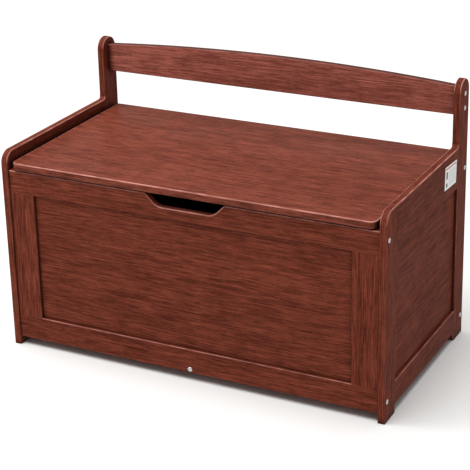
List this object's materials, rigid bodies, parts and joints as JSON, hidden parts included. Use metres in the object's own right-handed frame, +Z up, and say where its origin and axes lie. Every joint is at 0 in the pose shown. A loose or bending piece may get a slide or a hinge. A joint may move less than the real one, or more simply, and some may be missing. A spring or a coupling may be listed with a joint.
{
  "type": "storage bench",
  "caption": "Storage bench with a lift-up seat lid, framed front and sides, raised arms and an arched backrest rail.",
  "frame": {"origin": "on the floor, at the middle of the width and of the depth", "axes": "+X along the width to the right as seen from the front, +Y towards the back, +Z up"},
  "size_m": [0.8312, 0.435, 0.56],
  "materials": {
    "frame_wood": "semi-gloss dark mahogany grain foil over fibreboard",
    "lid_wood": "semi-gloss dark mahogany grain foil over fibreboard",
    "carcass_wood": "satin dark mahogany grain foil over fibreboard",
    "dowel_wood": "raw fluted beech",
    "screw_steel": "bright zinc",
    "hinge_steel": "satin zinc",
    "knob_plastic": "matt black",
    "bumper_rubber": "matt black rubber",
    "label_film": "plain white printed film"
  },
  "bodies": {
    "case": {"left_front_leg": "frame_wood", "left_back_post": "frame_wood", "left_arm_rail": "frame_wood", "left_lower_rail": "frame_wood", "left_side_panel": "frame_wood", "right_front_leg": "frame_wood", "right_back_post": "frame_wood", "right_arm_rail": "frame_wood", "right_lower_rail": "frame_wood", "right_side_panel": "frame_wood", "front_top_rail": "frame_wood", "front_bottom_rail": "frame_wood", "front_left_stile": "frame_wood", "front_right_stile": "frame_wood", "front_centre_panel": "frame_wood", "back_panel": "carcass_wood", "floor_panel": "carcass_wood", "backrest_rail": "frame_wood", "left_frame_dowels": "dowel_wood", "right_frame_dowels": "dowel_wood", "front_frame_dowels": "dowel_wood", "case_dowels": "dowel_wood", "front_panel_screws": "screw_steel", "back_panel_screws": "screw_steel", "backrest_screws": "screw_steel", "floor_screws": "screw_steel", "left_hinge_fixed_leaf": "hinge_steel", "left_hinge_pin": "hinge_steel", "right_hinge_fixed_leaf": "hinge_steel", "right_hinge_pin": "hinge_steel", "hinge_case_screws": "screw_steel", "left_stay_stud_plate": "hinge_steel", "left_stay_knob": "knob_plastic", "right_stay_stud_plate": "hinge_steel", "right_stay_knob": "knob_plastic", "stay_case_screws": "screw_steel", "lid_bumpers": "bumper_rubber", "side_label": "label_film"},
    "lid": {"lid": "lid_wood", "left_hinge_moving_leaf": "hinge_steel", "right_hinge_moving_leaf": "hinge_steel", "hinge_lid_screws": "screw_steel", "left_stay_lid_bracket": "hinge_steel", "left_stay_rivet": "screw_steel", "right_stay_lid_bracket": "hinge_steel", "right_stay_rivet": "screw_steel", "stay_lid_screws": "screw_steel"},
    "left_stay": {"left_stay_arm": "hinge_steel"},
    "right_stay": {"right_stay_arm": "hinge_steel"}
  },
  "joints": [
    {"name": "lid_hinge", "type": "hinge", "parent": "case", "child": "lid", "pos_m": [0, 0.2145, 0.39005], "axis": [-1, 0, 0], "range_deg": [0, 64]},
    {"name": "left_stay_pivot", "type": "hinge", "parent": "lid", "child": "left_stay", "pos_m": [-0.3873, 0.04492, 0.37805], "axis": [-1, 0, 0], "range_deg": [-32, 0]},
    {"name": "right_stay_pivot", "type": "hinge", "parent": "lid", "child": "right_stay", "pos_m": [0.3873, 0.04492, 0.37805], "axis": [-1, 0, 0], "range_deg": [-32, 0]}
  ],
  "couplings": [
    {"joint": "left_stay_pivot", "follows": "lid_hinge", "ratio": -0.5},
    {"joint": "right_stay_pivot", "follows": "lid_hinge", "ratio": -0.5}
  ]
}
